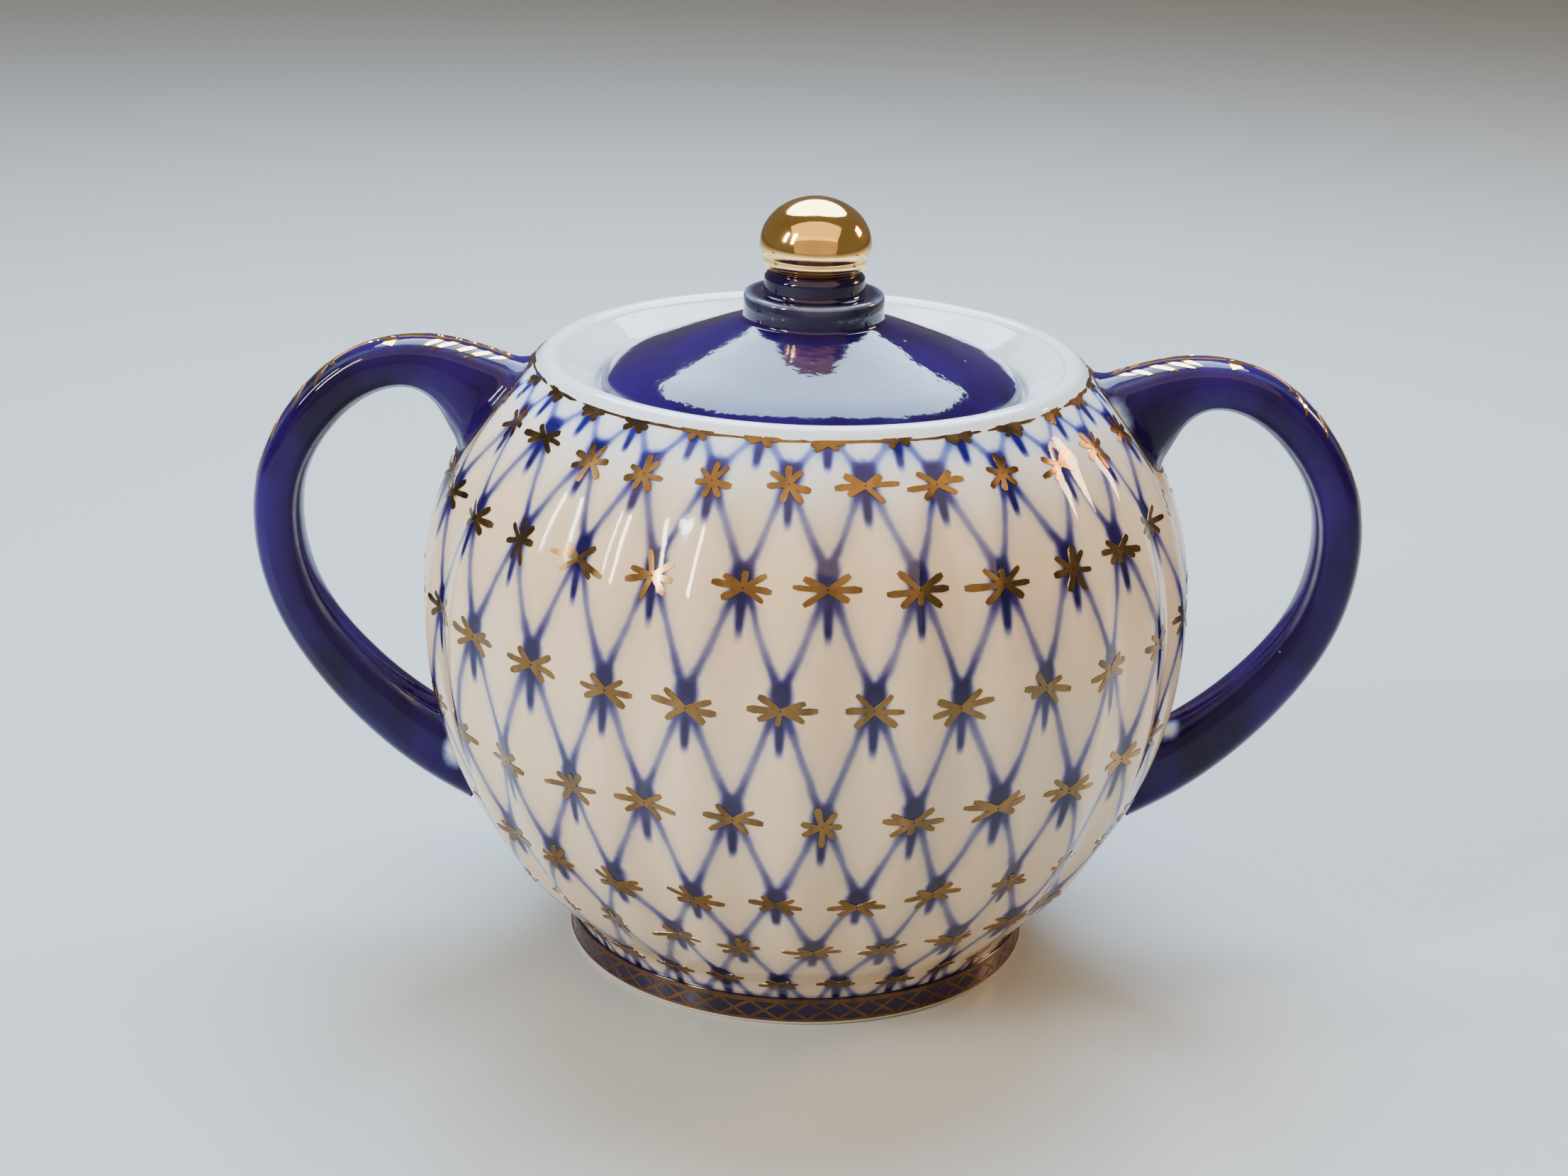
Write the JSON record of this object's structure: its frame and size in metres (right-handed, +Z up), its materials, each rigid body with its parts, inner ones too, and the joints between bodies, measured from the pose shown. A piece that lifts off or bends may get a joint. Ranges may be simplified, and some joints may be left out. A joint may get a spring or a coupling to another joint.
{
  "type": "porcelain sugar bowl",
  "caption": "Round lobed porcelain sugar bowl with two loop handles and a lift-off domed lid with a gilded knob, covered in a fine blue trellis.",
  "frame": {"origin": "centre of the foot ring's underside, on the surface the bowl stands on", "axes": "+Z up along the bowl's axis, +X through the two handles, +Y away from the viewer"},
  "size_m": [0.1754, 0.1218, 0.1219],
  "materials": {
    "trellis_porcelain": "glossy clear glaze over warm white porcelain, with an underglaze blue net",
    "cobalt_glaze": "deep glossy cobalt blue under clear glaze, paler where it thins at edges",
    "gilded_porcelain": "burnished bright gold film over glaze"
  },
  "bodies": {
    "bowl": {"bowl_body": "trellis_porcelain", "handle_left": "cobalt_glaze", "handle_right": "cobalt_glaze"},
    "lid": {"lid_shell": "cobalt_glaze", "lid_knob": "gilded_porcelain"}
  },
  "joints": [
    {"name": "lid_lift", "type": "slide", "parent": "bowl", "child": "lid", "axis": [0, 0, 1], "range_m": [0, 0.07]}
  ]
}
